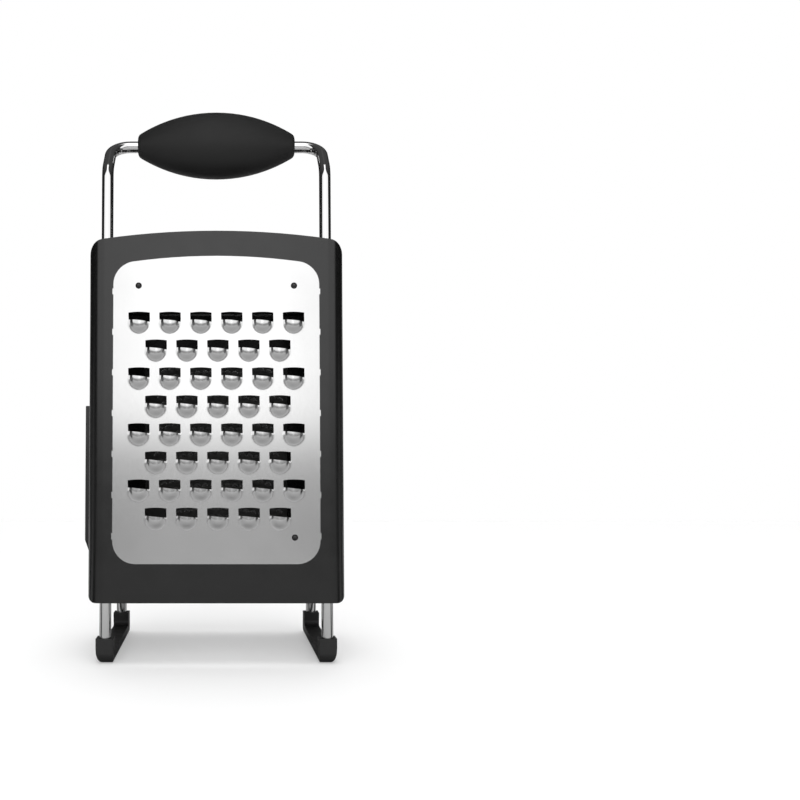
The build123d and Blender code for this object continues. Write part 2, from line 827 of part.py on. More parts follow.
def make_foot(side):
    sleeve_in = wall_y(foot_sleeve_h, -foot_w / 2)
    toe_top = wall_y(foot_sleeve_h, foot_w / 2)
    toe_low = wall_y(0, foot_w / 2)
    neck = wall_y(foot_bar_h, -foot_w / 2)
    half = (
        (toe_low, 0),
        (toe_top, foot_sleeve_h),
        (sleeve_in, foot_sleeve_h),
        (neck, foot_bar_h),
    )
    points = half + tuple((-y, z) for y, z in reversed(half))
    face = make_face(Polyline(*points, close=True))
    necks = [v for v in face.vertices() if abs(v.Y - foot_bar_h) < foot_bar_h / 4]
    face = fillet(necks, foot_neck_r)
    toes = [v for v in face.vertices() if abs(v.Y) < foot_bar_h / 4]
    face = fillet(toes, foot_toe_r)
    lie = Plane(origin=(side * leg_x, 0, 0), x_dir=(0, 1, 0), z_dir=(1, 0, 0))
    along = lie * slab(face, -foot_w / 2, foot_w / 2)
    across = Plane(origin=(side * leg_x, stance_depth, 0), x_dir=(1, 0, 0), z_dir=(0, -1, 0))
    foot = along & across * extrude(foot_end(side), 2 * stance_depth, dir=(0, 0, 1))
    bore = front_wall * column(Pos(side * leg_x, 0) * bore_section(), rod_end_h, panel_low)
    foot -= bore
    foot -= mirror(bore, about=Plane.XZ)
    return solid_of(foot)


parts = {
    "front_frame": front_wall * make_front_frame(),
    "extra_coarse_blade": front_wall * make_extra_coarse_blade(),
    "rear_frame": rear_wall * make_rear_frame(),
    "fine_blade": rear_wall * make_fine_blade(),
    "right_side_frame": make_right_side_frame(),
    "ribbon_blade": make_ribbon_blade(),
    "left_side_frame": make_left_side_frame(),
    "slicer_plate": make_slicer_plate(),
    "slicer_carrier": make_slicer_carrier(),
    "slicer_blade": make_slicer_blade(),
    "handle_hoop": make_handle_hoop(),
    "rear_hoop": make_rear_hoop(),
    "grip_core_front": make_grip_core(1),
    "grip_core_back": make_grip_core(-1),
    "grip_cover": make_grip_cover(),
    "left_foot": make_foot(-1),
    "right_foot": make_foot(1),
}

os.makedirs("parts", exist_ok=True)
for name, shape in parts.items():
    export_step(shape, f"parts/{name}.step")
    print(name, round(shape.volume, 1))
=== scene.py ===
import bpy
import bmesh
import math
from mathutils import Matrix, Vector


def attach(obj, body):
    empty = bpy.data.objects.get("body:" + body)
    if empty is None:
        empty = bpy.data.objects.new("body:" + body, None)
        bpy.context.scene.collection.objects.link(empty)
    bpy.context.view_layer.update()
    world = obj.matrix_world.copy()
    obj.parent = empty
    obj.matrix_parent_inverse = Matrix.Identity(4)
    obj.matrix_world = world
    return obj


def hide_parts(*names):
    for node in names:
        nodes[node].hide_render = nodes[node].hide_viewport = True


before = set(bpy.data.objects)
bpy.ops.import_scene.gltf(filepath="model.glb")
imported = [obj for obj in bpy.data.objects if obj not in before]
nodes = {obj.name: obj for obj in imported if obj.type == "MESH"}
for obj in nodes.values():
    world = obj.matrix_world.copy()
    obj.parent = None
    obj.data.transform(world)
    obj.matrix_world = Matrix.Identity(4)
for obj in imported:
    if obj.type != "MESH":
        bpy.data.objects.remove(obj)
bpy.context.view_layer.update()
print("grater: frame loaded with", len(nodes), "nodes")

mm = 0.001

# Where the walls and rods stand, the same as in the CAD
stance = {
    "lean": math.radians(2.58),     # each wall leans in by this much
    "wallY": 43.0 * mm,             # rod plane to the middle, at the floor
    "legX": 60.0 * mm,              # each leg to the middle
    "plateFace": 8.4 * mm,          # front of a plate to the rod plane
    "rodEnd": 3.0 * mm,             # lower end of a rod above the floor, inside its skid
}
onLine = 0.05 * mm                  # points this near to a line lie on it


# Small tools

def activate(piece):
    bpy.ops.object.select_all(action="DESELECT")
    piece.select_set(True)
    bpy.context.view_layer.objects.active = piece


def openMesh(piece, mode="VERT"):
    activate(piece)
    bpy.ops.object.mode_set(mode="EDIT")
    bpy.ops.mesh.select_mode(type=mode)
    bpy.ops.mesh.select_all(action="DESELECT")


def closeMesh():
    bpy.ops.object.mode_set(mode="OBJECT")


def pickPoints(piece, test):
    # Selects the points that pass the test, and the edges and faces between them
    mesh = bmesh.from_edit_mesh(piece.data)
    for point in mesh.verts:
        point.select = bool(test(point.co))
    mesh.select_mode = {"VERT"}
    mesh.select_flush_mode()
    bmesh.update_edit_mesh(piece.data)


def pickFaces(piece, test):
    mesh = bmesh.from_edit_mesh(piece.data)
    for face in mesh.faces:
        face.select_set(bool(test(face)))
    bmesh.update_edit_mesh(piece.data)


def pickRim(piece, test):
    # Selects only the open edges whose two ends pass the test
    bpy.ops.mesh.select_all(action="DESELECT")
    mesh = bmesh.from_edit_mesh(piece.data)
    for edge in mesh.edges:
        edge.select_set(edge.is_boundary and all(test(point.co) for point in edge.verts))
    bmesh.update_edit_mesh(piece.data)


def pull(shift):
    bpy.ops.mesh.extrude_region_move(TRANSFORM_OT_translate={"value": shift})


def mergeAll(reach=0.01 * mm):
    bpy.ops.mesh.select_all(action="SELECT")
    bpy.ops.mesh.remove_doubles(threshold=reach)


def outwards():
    bpy.ops.mesh.select_all(action="SELECT")
    bpy.ops.mesh.normals_make_consistent(inside=False)


def upwards(piece):
    # An open sheet has no inside, so its faces are turned to look up
    outwards()
    mesh = bmesh.from_edit_mesh(piece.data)
    if sum(face.normal.z * face.calc_area() for face in mesh.faces) < 0:
        bpy.ops.mesh.flip_normals()


def applyModifier(piece, kind, **settings):
    activate(piece)
    modifier = piece.modifiers.new(kind.lower(), kind)
    for key, value in settings.items():
        setattr(modifier, key, value)
    bpy.ops.object.modifier_apply(modifier=modifier.name)


def shadeBy(piece, degrees):
    activate(piece)
    bpy.ops.object.shade_smooth_by_angle(angle=math.radians(degrees))


def settle(piece, place=None):
    # Bakes a place into the mesh, so that the piece sits at the origin
    activate(piece)
    if place is not None:
        piece.matrix_world = place @ piece.matrix_world
    bpy.ops.object.transform_apply(location=True, rotation=True, scale=True)


def frontWall():
    # x to the viewer's right, y up the wall, z outwards
    turn = Matrix.Rotation(math.pi / 2 - stance["lean"], 4, "X")
    return Matrix.Translation((0, -stance["wallY"], 0)) @ turn


def rearWall():
    return Matrix.Rotation(math.pi, 4, "Z") @ frontWall()


def newPiece(name):
    # Names what an operator has just made
    piece = bpy.context.object
    piece.name = name
    piece.data.name = name
    return piece


def copyOf(piece, shift):
    # A copy with its own mesh
    copy = piece.copy()
    copy.data = piece.data.copy()
    copy.location = shift
    bpy.context.scene.collection.objects.link(copy)
    return copy


def mirrorHalf(piece):
    # The half's open end lies in the middle plane, where the mirrored half meets it
    applyModifier(piece, "MIRROR", use_axis=(True, False, False), use_clip=True, merge_threshold=0.02 * mm)
    openMesh(piece)
    mergeAll(0.005 * mm)
    outwards()
    closeMesh()


def joinAll(pieces, name):
    bpy.ops.object.select_all(action="DESELECT")
    for piece in pieces:
        piece.select_set(True)
    bpy.context.view_layer.objects.active = pieces[0]
    bpy.ops.object.join()
    return newPiece(name)


# Materials

def toLinear(code):
    # sRGB hex to the linear values that the shader works in
    values = [int(code[i:i + 2], 16) / 255 for i in (1, 3, 5)]
    linear = [v / 12.92 if v <= 0.04045 else ((v + 0.055) / 1.055) ** 2.4 for v in values]
    return (*linear, 1.0)


def addNode(owner, kind, inputs=None, **settings):
    # One node: its settings, then its inputs, each a fixed value or a link written as (node, output)
    tree = owner.node_tree
    node = tree.nodes.new(kind)
    for key, value in settings.items():
        setattr(node, key, value)
    for key, value in (inputs or {}).items():
        if isinstance(value, tuple) and isinstance(value[0], bpy.types.Node):
            tree.links.new(value[0].outputs[value[1]], node.inputs[key])
        else:
            node.inputs[key].default_value = value
    return node


def emptyTree(owner):
    owner.use_nodes = True
    owner.node_tree.nodes.clear()
    return owner


def startMaterial(name):
    material = emptyTree(bpy.data.materials.new(name))
    place = addNode(material, "ShaderNodeTexCoord")
    return material, place


def finishMaterial(material, shader):
    addNode(material, "ShaderNodeOutputMaterial", {"Surface": (shader, "BSDF")})
    return material


def perMetre(size):
    # Noise scale that gives features of this size
    return 1.0 / size


absLook = {
    "dark": "#101010",
    "light": "#151515",
    "patch": 9.0 * mm,          # patches that differ a little in shade and sheen
    "grain": 0.35 * mm,         # a spark-eroded grain is finer, but wouldn't show
    "sheen": {"From Min": 0.3, "From Max": 0.7, "To Min": 0.19, "To Max": 0.25},
    "relief": {"Strength": 0.12, "Distance": 0.02 * mm},
    "gloss": {"IOR": 1.53, "Specular IOR Level": 0.5},
}


def makeMouldedAbs():
    # Black ABS, injection moulded in a spark-eroded tool: an even matt grain, a little uneven in sheen
    look = absLook
    material, place = startMaterial("mouldedAbsBlack")
    patches = addNode(material, "ShaderNodeTexNoise", {
        "Vector": (place, "Object"), "Scale": perMetre(look["patch"]), "Detail": 3.0,
    })
    grain = addNode(material, "ShaderNodeTexNoise", {
        "Vector": (place, "Object"), "Scale": perMetre(look["grain"]), "Detail": 2.0,
    })
    colour = addNode(material, "ShaderNodeMix", {
        "Factor": (patches, "Fac"), "A": toLinear(look["dark"]), "B": toLinear(look["light"]),
    }, data_type="RGBA")
    rough = addNode(material, "ShaderNodeMapRange", {"Value": (patches, "Fac"), **look["sheen"]})
    bump = addNode(material, "ShaderNodeBump", {"Height": (grain, "Fac"), **look["relief"]})
    shader = addNode(material, "ShaderNodeBsdfPrincipled", {
        "Base Color": (colour, "Result"), "Roughness": (rough, "Result"), "Normal": (bump, "Normal"),
        **look["gloss"],
    })
    return finishMaterial(material, shader)


gripLook = {
    "dark": "#1a1a1a",
    "light": "#1f1f1f",
    "touch": 12.0 * mm,         # patches where hands have been
    "pore": 0.5 * mm,
    "sheen": {"From Min": 0.3, "From Max": 0.7, "To Min": 0.5, "To Max": 0.6},
    "relief": {"Strength": 0.15, "Distance": 0.03 * mm},
    "gloss": {"IOR": 1.5, "Specular IOR Level": 0.34},
}


def makeSoftTouch():
    # TPE soft grip over a hard core: hardly any gloss, a fine leathery skin, faintly greyer where it is held
    look = gripLook
    material, place = startMaterial("softTouchTpeBlack")
    touched = addNode(material, "ShaderNodeTexNoise", {
        "Vector": (place, "Object"), "Scale": perMetre(look["touch"]), "Detail": 4.0,
    })
    pores = addNode(material, "ShaderNodeTexVoronoi", {
        "Vector": (place, "Object"), "Scale": perMetre(look["pore"]),
    }, feature="SMOOTH_F1")
    colour = addNode(material, "ShaderNodeMix", {
        "Factor": (touched, "Fac"), "A": toLinear(look["dark"]), "B": toLinear(look["light"]),
    }, data_type="RGBA")
    rough = addNode(material, "ShaderNodeMapRange", {"Value": (touched, "Fac"), **look["sheen"]})
    bump = addNode(material, "ShaderNodeBump", {"Height": (pores, "Distance"), **look["relief"]})
    shader = addNode(material, "ShaderNodeBsdfPrincipled", {
        "Base Color": (colour, "Result"), "Roughness": (rough, "Result"), "Normal": (bump, "Normal"),
        **look["gloss"],
    })
    return finishMaterial(material, shader)


rubberLook = {
    "dark": "#141414",
    "light": "#1a1a1a",
    "scuff": 4.0 * mm,
    "grain": 0.4 * mm,
    "sheen": {"From Min": 0.3, "From Max": 0.7, "To Min": 0.46, "To Max": 0.58},
    "relief": {"Strength": 0.2, "Distance": 0.02 * mm},
    "gloss": {"IOR": 1.52},
}


def makeFootRubber():
    # Non-slip elastomer skids: matt black, scuffed a little paler in patches
    look = rubberLook
    material, place = startMaterial("nonSlipRubber")
    scuffs = addNode(material, "ShaderNodeTexNoise", {
        "Vector": (place, "Object"), "Scale": perMetre(look["scuff"]), "Detail": 5.0,
    })
    grain = addNode(material, "ShaderNodeTexNoise", {
        "Vector": (place, "Object"), "Scale": perMetre(look["grain"]), "Detail": 2.0,
    })
    colour = addNode(material, "ShaderNodeMix", {
        "Factor": (scuffs, "Fac"), "A": toLinear(look["dark"]), "B": toLinear(look["light"]),
    }, data_type="RGBA")
    rough = addNode(material, "ShaderNodeMapRange", {"Value": (scuffs, "Fac"), **look["sheen"]})
    bump = addNode(material, "ShaderNodeBump", {"Height": (grain, "Fac"), **look["relief"]})
    shader = addNode(material, "ShaderNodeBsdfPrincipled", {
        "Base Color": (colour, "Result"), "Roughness": (rough, "Result"), "Normal": (bump, "Normal"),
        **look["gloss"],
    })
    return finishMaterial(material, shader)


coreLook = {
    "dark": "#26272a",
    "light": "#2c2d30",
    "grain": 0.6 * mm,
    "gloss": {"IOR": 1.49, "Roughness": 0.4},
}


def makeCorePlastic():
    # Polypropylene grip core, as moulded: waxy and plain
    look = coreLook
    material, place = startMaterial("mouldedPolypropylene")
    grain = addNode(material, "ShaderNodeTexNoise", {
        "Vector": (place, "Object"), "Scale": perMetre(look["grain"]), "Detail": 2.0,
    })
    colour = addNode(material, "ShaderNodeMix", {
        "Factor": (grain, "Fac"), "A": toLinear(look["dark"]), "B": toLinear(look["light"]),
    }, data_type="RGBA")
    shader = addNode(material, "ShaderNodeBsdfPrincipled", {
        "Base Color": (colour, "Result"), **look["gloss"],
    })
    return finishMaterial(material, shader)


chromeLook = {
    "tint": "#dcdcdc",
    "haze": 14.0 * mm,
    "sheen": {"From Min": 0.35, "From Max": 0.7, "To Min": 0.05, "To Max": 0.09},
}


def makeChromedRod():
    # Steel rod, polished and chrome plated: a sharp mirror with a faint haze here and there
    look = chromeLook
    material, place = startMaterial("chromedSteelRod")
    haze = addNode(material, "ShaderNodeTexNoise", {
        "Vector": (place, "Object"), "Scale": perMetre(look["haze"]), "Detail": 5.0,
    })
    rough = addNode(material, "ShaderNodeMapRange", {"Value": (haze, "Fac"), **look["sheen"]})
    shader = addNode(material, "ShaderNodeBsdfPrincipled", {
        "Base Color": toLinear(look["tint"]), "Metallic": 1.0, "Roughness": (rough, "Result"),
    })
    return finishMaterial(material, shader)


steelLook = {
    "tint": "#c9c9c9",
    "pale": "#d4d4d4",
    "cloud": 26.0 * mm,
    "line": 0.12 * mm,          # brush lines across, a few times as wide as real ones
    "lineLong": 14.0 * mm,      # and along
    "sheen": {"From Min": 0.3, "From Max": 0.7, "To Min": 0.12, "To Max": 0.18},
    "relief": {"Strength": 0.05, "Distance": 0.004 * mm},
}


def makeBladeSteel():
    # Hard-rolled stainless sheet, etched and finely brushed up the plate: satin, with long soft streaks
    look = steelLook
    material, place = startMaterial("etchedStainlessSheet")
    stretch = addNode(material, "ShaderNodeMapping", {
        "Vector": (place, "Object"),
        "Scale": (perMetre(look["line"]), perMetre(look["line"]), perMetre(look["lineLong"])),
    })
    lines = addNode(material, "ShaderNodeTexNoise", {
        "Vector": (stretch, "Vector"), "Scale": 1.0, "Detail": 3.0,
    })
    clouds = addNode(material, "ShaderNodeTexNoise", {
        "Vector": (place, "Object"), "Scale": perMetre(look["cloud"]), "Detail": 3.0,
    })
    colour = addNode(material, "ShaderNodeMix", {
        "Factor": (clouds, "Fac"), "A": toLinear(look["tint"]), "B": toLinear(look["pale"]),
    }, data_type="RGBA")
    rough = addNode(material, "ShaderNodeMapRange", {"Value": (lines, "Fac"), **look["sheen"]})
    bump = addNode(material, "ShaderNodeBump", {"Height": (lines, "Fac"), **look["relief"]})
    shader = addNode(material, "ShaderNodeBsdfPrincipled", {
        "Base Color": (colour, "Result"), "Metallic": 1.0,
        "Roughness": (rough, "Result"), "Normal": (bump, "Normal"),
    })
    return finishMaterial(material, shader)


# Inner side of the sheets: its darker grey is painted shade, not a different steel
insideShadeLook = {"dark": "#4c4c4b", "light": "#5c5c5b", "cloud": 6.0 * mm, "rough": 0.5}


def makeShadedInnerSteel():
    # The sheet's inner side: dull, and a darker grey than the outer steel; the darker grey is painted shade
    # for the unlit inside of the box, so the slots read dark
    look = insideShadeLook
    material, place = startMaterial("innerSteelPaintedShade")
    clouds = addNode(material, "ShaderNodeTexNoise", {
        "Vector": (place, "Object"), "Scale": perMetre(look["cloud"]), "Detail": 4.0,
    })
    colour = addNode(material, "ShaderNodeMix", {
        "Factor": (clouds, "Fac"), "A": toLinear(look["dark"]), "B": toLinear(look["light"]),
    }, data_type="RGBA")
    shader = addNode(material, "ShaderNodeBsdfPrincipled", {
        "Base Color": (colour, "Result"), "Metallic": 1.0, "Roughness": look["rough"],
    })
    return finishMaterial(material, shader)


materials = {
    "casing_abs": makeMouldedAbs(),
    "soft_grip": makeSoftTouch(),
    "foot_rubber": makeFootRubber(),
    "grip_core": makeCorePlastic(),
    "chromed_rod": makeChromedRod(),
    "blade_steel": makeBladeSteel(),
}
shadedInnerSteel = makeShadedInnerSteel()
print("grater: materials made")


def dress(piece, slot):
    piece.data.materials.clear()
    piece.data.materials.append(materials[slot])


def thicken(sheet, thick):
    # Thickness goes inwards, and the inner side takes the second material, the steel darkened with painted
    # shade
    sheet.data.materials.clear()
    sheet.data.materials.append(materials["blade_steel"])
    sheet.data.materials.append(shadedInnerSteel)
    applyModifier(sheet, "SOLIDIFY", thickness=thick, offset=-1.0, use_even_offset=True, material_offset=1)


def seat(piece, body, slot, *replaced):
    # The piece rides on its body, takes its slot's finish and stands for its CAD nodes
    if len(piece.data.materials) < 2:
        dress(piece, slot)
    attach(piece, body)
    if replaced:
        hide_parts(*replaced)


# Moulded pieces: the CAD form with its sharp corners softened, as a mould gives them

softening = {
    "casing": 0.35 * mm,        # width of the rounded edges
    "skid": 0.8 * mm,
    "sheet": 0.08 * mm,
    "steps": 2,
    "over": 35.0,               # edges sharper than this are rounded, in degrees
    "flat": 1.0,                # faces closer to flat than this are joined
    "smooth": 32.0,
    "weight": 80,
}
stakeHead = {
    "radius": 1.75 * mm,
    "tall": 1.2 * mm,
    "sunk": 0.1 * mm,           # foot of the head inside the plate
    "sides": 24,
    "shares": (0.95, 0.8, 0.55, 0.25),      # radius of each ring up the dome
}
# Places of the stakes, across and up the wall, as seen from outside
frontStakes = ((-42.0 * mm, 203.3 * mm), (42.0 * mm, 203.3 * mm), (42.0 * mm, 67.4 * mm))
rearStakes = ((-34.2 * mm, 177.7 * mm), (34.2 * mm, 177.7 * mm), (34.2 * mm, 73.4 * mm))


def makeStakeHead():
    # A ring drawn up from the plate and drawn in step by step to a low dome
    h = stakeHead
    bpy.ops.mesh.primitive_circle_add(vertices=h["sides"], radius=h["radius"], fill_type="NGON",
                                      location=(0, 0, -h["sunk"]))
    head = newPiece("stakeHead")
    settle(head)
    openMesh(head, "FACE")
    bpy.ops.mesh.select_all(action="SELECT")
    shareNow, riseNow = 1.0, -h["sunk"]
    for share in h["shares"]:
        rise = h["tall"] * math.sqrt(1 - share ** 2)
        pull((0, 0, rise - riseNow))
        bpy.ops.transform.resize(value=(share / shareNow, share / shareNow, 1), center_override=(0, 0, 0))
        shareNow, riseNow = share, rise
    outwards()
    closeMesh()
    shadeBy(head, 60)
    return head


def headsOn(wall, places):
    # The heads of the stakes that hold a plate sit on its face
    head = makeStakeHead()
    heads = [copyOf(head, (0, 0, 0)) for _ in places]
    bpy.data.objects.remove(head)
    for copy, (x, up) in zip(heads, places):
        settle(copy, wall @ Matrix.Translation((x, up, stance["plateFace"])))
    return heads


def softenedCopy(node, name, width, extras=()):
    # A CAD node's mesh is loose triangles, so the copy is merged before its edges are rounded
    copy = copyOf(nodes[node], (0, 0, 0))
    # Its parent and its frame marks stay with the node
    copy.parent = None
    for key in list(copy.keys()):
        del copy[key]
    copy.data.materials.clear()
    openMesh(copy)
    mergeAll()
    bpy.ops.mesh.dissolve_limited(angle_limit=math.radians(softening["flat"]))
    closeMesh()
    applyModifier(copy, "BEVEL", width=width, segments=softening["steps"], limit_method="ANGLE",
                  angle_limit=math.radians(softening["over"]))
    shadeBy(copy, softening["smooth"])
    copy = joinAll([copy, *extras], name)
    # The large flat faces keep their own normals, so that only the soft edges shade round
    applyModifier(copy, "WEIGHTED_NORMAL", keep_sharp=True, weight=softening["weight"])
    return copy


def makeMouldings():
    casing = {
        "front_frame": ("frontPanelShell", "front_panel", headsOn(frontWall(), frontStakes)),
        "rear_frame": ("rearWindowFrame", "root", headsOn(rearWall(), rearStakes)),
        "left_side_frame": ("leftSideShell", "root", ()),
        "right_side_frame": ("rightSideShell", "root", ()),
        "slicer_carrier": ("slicerPlinth", "root", ()),
    }
    for node, (name, body, extras) in casing.items():
        seat(softenedCopy(node, name, softening["casing"], extras), body, "casing_abs", node)
    for node, name in {"left_foot": "leftSkid", "right_foot": "rightSkid"}.items():
        seat(softenedCopy(node, name, softening["skid"]), "root", "foot_rubber", node)


makeMouldings()
print("grater: mouldings softened")


# Extra coarse blade: one tooth pressed out of a flat tile, then set out in staggered rows

coarse = {
    "pitchX": 16.67 * mm,
    "pitchUp": 15.1 * mm,
    "acrossSteps": 26,
    "upSteps": 24,
    "rows": 8,
    "perRow": 6,
    "shortRowX": 0.85 * mm,     # the shorter rows stand a little to the right
    "firstLip": 184.2 * mm,     # lip height of the top row
    "slotSteps": (18, 7),       # slot, in steps of the tile
    "lipStep": 1,               # lip above the tile's middle, in steps
    "skew": math.radians(6),    # slant of the lip
    "skewReach": 2.4 * mm,
    "crown": 0.45 * mm,         # arch of the slot's upper edge
    "rise": 1.9 * mm,           # lip over the plate
    "domeReach": 4.5 * mm,
    "domeRoot": 1.5 * mm,       # length of the dome's crest under the lip
    "crestShare": 0.6,          # part of the dome that keeps its form when the foot is blended
    "blend": 1.1 * mm,          # how far the dome's foot runs out into the plate
    "footSteps": 1.5,           # the foot is blended from here under the lip, in steps
    "footSmooths": 4,
    "thick": 0.6 * mm,
    "sideMargin": 8.15 * mm,    # flat steel beside the teeth
    "plateLow": 50.8 * mm,
    "plateTop": 217.5 * mm,
    "archTop": 221.6 * mm,
    "archShare": 0.42,          # width of the plate at the arch's top
    "smooth": 38,
}


def makeFlatTile(c, acrossSteps, name):
    # A flat grid in the steps of a tooth's tile, so that their points meet
    wide = c["pitchX"] * acrossSteps / c["acrossSteps"]
    bpy.ops.mesh.primitive_grid_add(x_subdivisions=acrossSteps, y_subdivisions=c["upSteps"], size=1)
    tile = newPiece(name)
    tile.scale = (wide, c["pitchUp"], 1)
    settle(tile)
    return tile


def makeCoarseTooth():
    c = coarse
    stepX = c["pitchX"] / c["acrossSteps"]
    stepUp = c["pitchUp"] / c["upSteps"]
    lip = c["lipStep"] * stepUp
    halfSlot = c["slotSteps"][0] / 2 * stepX
    slotTop = lip + c["slotSteps"][1] * stepUp
    near = stepX / 4
    tile = makeFlatTile(c, c["acrossSteps"], "coarseTooth")
    openMesh(tile)
    pickFaces(tile, lambda face: abs(face.calc_center_median().x) < halfSlot
              and lip < face.calc_center_median().y < slotTop)
    bpy.ops.mesh.delete(type="FACE")
    # The lip slants a little, and the slot's upper edge is arched
    pickPoints(tile, lambda p: abs(p.x) < halfSlot + near and abs(p.y - lip) < near)
    bpy.ops.transform.rotate(value=c["skew"], orient_axis="Z", center_override=(0, lip, 0),
                             use_proportional_edit=True, use_proportional_connected=True,
                             proportional_edit_falloff="SMOOTH", proportional_size=c["skewReach"])
    half = c["slotSteps"][0] // 2
    for k in range(1 - half, half):
        pickPoints(tile, lambda p: abs(p.x - k * stepX) < near and abs(p.y - slotTop) < near)
        bpy.ops.transform.translate(value=(0, c["crown"] * (1 - (k / half) ** 2), 0))
    # The dome under the lip: high at the lip, round where it runs into the plate
    pickPoints(tile, lambda p: abs(p.x) < near and lip - c["domeRoot"] < p.y < lip + near)
    bpy.ops.transform.translate(value=(0, 0, c["rise"]), use_proportional_edit=True,
                                use_proportional_connected=True, proportional_edit_falloff="SPHERE",
                                proportional_size=c["domeReach"])
    inner = c["domeReach"] * c["crestShare"]
    outer = c["domeReach"] + c["blend"]

    def inFoot(p):
        away = math.hypot(p.x, min(0, p.y - lip + c["domeRoot"]))
        return p.y < lip - c["footSteps"] * stepUp and inner < away < outer

    pickPoints(tile, inFoot)
    bpy.ops.mesh.vertices_smooth(factor=0.5, repeat=c["footSmooths"], xaxis=False, yaxis=False)
    closeMesh()
    return tile


def growSides(piece, half):
    # Flat steel from the block of teeth out to the plate's two side edges
    openMesh(piece, "EDGE")
    xs = [point.co.x for point in bmesh.from_edit_mesh(piece.data).verts]
    for edgeX, to in ((min(xs), -half), (max(xs), half)):
        pickRim(piece, lambda p: abs(p.x - edgeX) < onLine)
        pull((to - edgeX, 0, 0))


def makeCoarseBlade():
    c = coarse
    tooth = makeCoarseTooth()
    stepX = c["pitchX"] / c["acrossSteps"]
    wholeSteps = round(c["shortRowX"] / stepX)
    halfSteps = c["acrossSteps"] // 2
    blanks = {side: makeFlatTile(c, halfSteps - side * wholeSteps, "coarseBlank") for side in (-1, 1)}
    lip = c["lipStep"] * c["pitchUp"] / c["upSteps"]
    half = c["perRow"] / 2 * c["pitchX"]
    tiles, shortRows = [], []
    for row in range(c["rows"]):
        count = c["perRow"] - row % 2
        up = c["firstLip"] - lip - row * c["pitchUp"]
        shift = row % 2 * wholeSteps * stepX
        for i in range(count):
            tiles.append(copyOf(tooth, ((i - (count - 1) / 2) * c["pitchX"] + shift, up, 0)))
        if row % 2:
            shortRows.append(up)
            for side, blank in blanks.items():
                wide = (halfSteps - side * wholeSteps) * stepX
                tiles.append(copyOf(blank, (side * (half - wide / 2), up, 0)))
    for master in (tooth, *blanks.values()):
        bpy.data.objects.remove(master)
    blade = joinAll(tiles, "extraCoarsePlate")
    settle(blade)
    openMesh(blade)
    mergeAll()
    # What is left of the shift, short of a whole step, for all but the rows' outer points
    rest = c["shortRowX"] - wholeSteps * stepX
    for up in shortRows:
        pickPoints(blade, lambda p: abs(p.y - up) < c["pitchUp"] / 2 - onLine and abs(p.x) < half - onLine)
        bpy.ops.transform.translate(value=(rest, 0, 0))
    closeMesh()
    growSides(blade, half + c["sideMargin"])
    # Steel under the teeth and over them, where it closes in to the arched top
    top = c["firstLip"] - lip + c["pitchUp"] / 2
    low = top - c["rows"] * c["pitchUp"]
    pickRim(blade, lambda p: abs(p.y - low) < onLine)
    pull((0, c["plateLow"] - low, 0))
    pickRim(blade, lambda p: abs(p.y - top) < onLine)
    pull((0, c["plateTop"] - top, 0))
    pull((0, c["archTop"] - c["plateTop"], 0))
    bpy.ops.transform.resize(value=(c["archShare"], 1, 1), center_override=(0, 0, 0))
    upwards(blade)
    closeMesh()
    thicken(blade, c["thick"])
    shadeBy(blade, c["smooth"])
    settle(blade, frontWall() @ Matrix.Translation((0, 0, stance["plateFace"])))
    seat(blade, "front_panel", "blade_steel", "extra_coarse_blade")


makeCoarseBlade()
print("grater: extra coarse blade made")


# Fine blade: a small tab under an arched slit, in twenty rows that curve down at their ends

fine = {
    "pitchX": 4.75 * mm,
    "pitchUp": 5.11 * mm,
    "acrossSteps": 8,
    "upSteps": 8,
    "rows": 20,
    "perRow": 17,
    "firstUp": 170.2 * mm,      # middle of the top row
    "arc": 120.0 * mm,          # radius of the rows
    "slitSteps": 6,             # length of the slit, in steps of the tile
    "slitLow": 0.3 * mm,        # the slit's edges above the tile's middle
    "slitHigh": 1.15 * mm,
    "bend": 0.95 * mm,          # how far the slit's ends hang down
    "rise": 0.5 * mm,           # the tab's lip over the plate
    "tabLong": 1.9 * mm,
    "thick": 0.5 * mm,
    "clear": 6.3 * mm,          # bare steel round a stake
    "halfWide": 50.65 * mm,
    "plateLow": 57.1 * mm,
    "plateTop": 193.3 * mm,
    "smooth": 30,
}


def sagAt(x):
    # How far a row hangs down at this distance from the middle
    return fine["arc"] - math.sqrt(fine["arc"] ** 2 - x ** 2)


def makeFineTooth():
    c = fine
    tile = makeFlatTile(c, c["acrossSteps"], "fineTooth")
    openMesh(tile)
    stepX = c["pitchX"] / c["acrossSteps"]
    stepUp = c["pitchUp"] / c["upSteps"]
    half = c["slitSteps"] // 2
    near = stepX / 4
    pickFaces(tile, lambda face: abs(face.calc_center_median().x) < half * stepX
              and 0 < face.calc_center_median().y < stepUp)
    bpy.ops.mesh.delete(type="FACE")
    # Two rows of points become the slit's edges, and the rows beside them keep their distance
    for level, to in ((0, c["slitLow"]), (1, c["slitHigh"]), (2, (c["slitHigh"] + 3 * stepUp) / 2)):
        pickPoints(tile, lambda p: abs(p.x) < (half + 0.5) * stepX and abs(p.y - level * stepUp) < stepUp / 4)
        bpy.ops.transform.translate(value=(0, to - level * stepUp, 0))
    for k in range(-half, half + 1):
        pickPoints(tile, lambda p: abs(p.x - k * stepX) < near and -stepUp / 2 < p.y < 2.75 * stepUp)
        bpy.ops.transform.translate(value=(0, -c["bend"] * (k / half) ** 2, 0))
    # The tab: its lip stands up, and it runs out into the plate
    for k in range(1 - half, half):
        edge = c["slitLow"] - c["bend"] * (k / half) ** 2
        for up in (edge, -stepUp, -2 * stepUp):
            lift = c["rise"] * (1 - (k / half) ** 2) * max(0.0, 1 - (edge - up) / c["tabLong"])
            pickPoints(tile, lambda p: abs(p.x - k * stepX) < near and abs(p.y - up) < stepUp / 8)
            bpy.ops.transform.translate(value=(0, 0, lift))
    closeMesh()
    return tile


